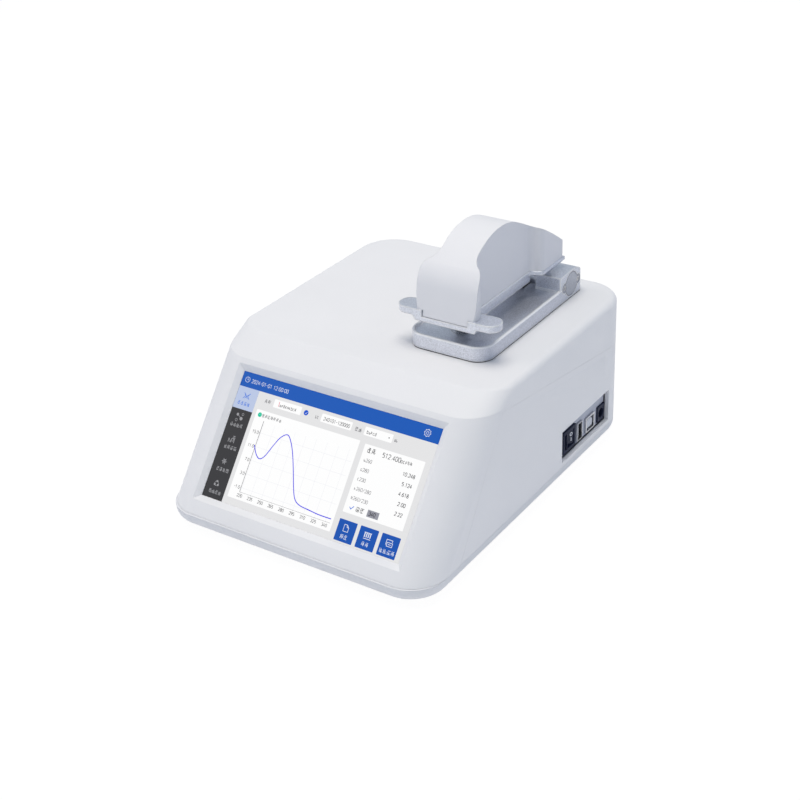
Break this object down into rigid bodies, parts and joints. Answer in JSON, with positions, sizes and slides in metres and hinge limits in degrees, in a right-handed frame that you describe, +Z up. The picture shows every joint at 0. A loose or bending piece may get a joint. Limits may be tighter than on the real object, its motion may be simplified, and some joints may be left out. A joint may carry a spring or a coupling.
{
  "type": "spectrophotometer",
  "caption": "Benchtop microvolume spectrophotometer: wedge case with a sloping touch screen, and a hinged sample arm over a measuring tray on top.",
  "frame": {"origin": "centre of the footprint, on the table the feet stand on", "axes": "+X to the right seen from the touch screen, +Y to the back, +Z up"},
  "size_m": [0.207, 0.268, 0.1808],
  "materials": {
    "case_white": "fine satin moulding",
    "base_grey": "fine satin moulding",
    "cover_white": "fine satin moulding",
    "foot_rubber": "matt",
    "screw_steel": "bright zinc",
    "seal_foam": "matt",
    "screen_glass": "clear",
    "display_black": "gloss",
    "sheet_steel": "plain",
    "spacer_brass": "turned",
    "board_green": "solder mask",
    "cell_steel": "bright",
    "ribbon_amber": "film",
    "socket_panel_grey": "satin light grey",
    "switch_black": "satin",
    "rocker_black": "satin gloss",
    "socket_metal": "nickel",
    "jack_black": "satin",
    "deck_aluminium": "milled",
    "bench_black": "black anodised",
    "mirror_face": "first surface",
    "grating_glass": "ruled",
    "lamp_case": "satin black",
    "speaker_black": "matt",
    "tray_silver": "fine sparkled silver",
    "frame_silver": "fine sparkled silver",
    "cap_silver": "satin",
    "axle_steel": "ground",
    "bush_bronze": "turned",
    "washer_nylon": "natural",
    "pedestal_steel": "polished",
    "bush_steel": "turned and polished",
    "motor_grey": "plain",
    "fibre_core": "polished end",
    "fibre_jacket": "satin"
  },
  "bodies": {
    "case": {"top_cover": "case_white", "main_housing": "case_white", "base_shell": "base_grey", "rubber_feet": "foot_rubber", "case_screws": "screw_steel", "display_screws": "screw_steel", "deck_screws": "screw_steel", "tray_screws": "screw_steel", "hinge_cap_screws": "screw_steel", "drive_screws": "screw_steel", "screen_seal": "seal_foam", "tray_seal": "seal_foam", "touch_glass": "screen_glass", "lcd_panel": "display_black", "display_bracket": "sheet_steel", "drive_bracket": "sheet_steel", "board_spacers": "spacer_brass", "main_board": "board_green", "socket_board": "board_green", "lamp_board": "board_green", "detector_board": "board_green", "coin_cell": "cell_steel", "display_ribbon": "ribbon_amber", "socket_panel": "socket_panel_grey", "switch_body": "switch_black", "usb_a_port": "socket_metal", "usb_b_port": "socket_metal", "power_jack": "jack_black", "optics_deck": "deck_aluminium", "spectrometer_bench": "bench_black", "spectrometer_lid": "bench_black", "entrance_slit": "bench_black", "spectrometer_mirrors": "mirror_face", "diffraction_grating": "grating_glass", "xenon_lamp": "lamp_case", "speaker": "speaker_black", "measuring_tray": "tray_silver", "hinge_caps": "cap_silver", "guide_pins": "axle_steel", "hinge_bushes": "bush_bronze", "friction_washers": "washer_nylon", "pedestal_bush": "bush_steel", "stepper_motor": "motor_grey", "source_fibre": "fibre_jacket", "detector_fibre": "fibre_jacket"},
    "arm": {"arm_frame": "frame_silver", "arm_cover": "cover_white", "arm_cover_screws": "screw_steel", "upper_pedestal": "pedestal_steel", "upper_fibre_tip": "fibre_core", "arm_fibre": "fibre_jacket", "hinge_axle": "axle_steel"},
    "carriage": {"drive_nut": "bush_bronze", "lower_pedestal": "pedestal_steel", "lower_fibre_tip": "fibre_core"},
    "screw": {"lead_screw": "axle_steel"},
    "rocker": {"power_rocker": "rocker_black"}
  },
  "joints": [
    {"name": "arm_hinge", "type": "hinge", "parent": "case", "child": "arm", "pos_m": [0.04535, 0.101, 0.1183], "axis": [-1, 0, 0], "range_deg": [0, 49]},
    {"name": "lead_screw_spin", "type": "hinge", "parent": "case", "child": "screw", "pos_m": [0.04535, 0.008, 0.06], "axis": [0, 0, 1], "range_deg": [0, 684.1]},
    {"name": "pedestal_slide", "type": "slide", "parent": "case", "child": "carriage", "axis": [0, 0, 1], "range_m": [0, 0.00095]},
    {"name": "rocker_tilt", "type": "hinge", "parent": "case", "child": "rocker", "pos_m": [0.095, 0.05125, 0.02875], "axis": [0, 0, 1], "range_deg": [-12, 0]}
  ],
  "couplings": [
    {"joint": "lead_screw_spin", "follows": "pedestal_slide", "rad_per_m": 12566}
  ]
}
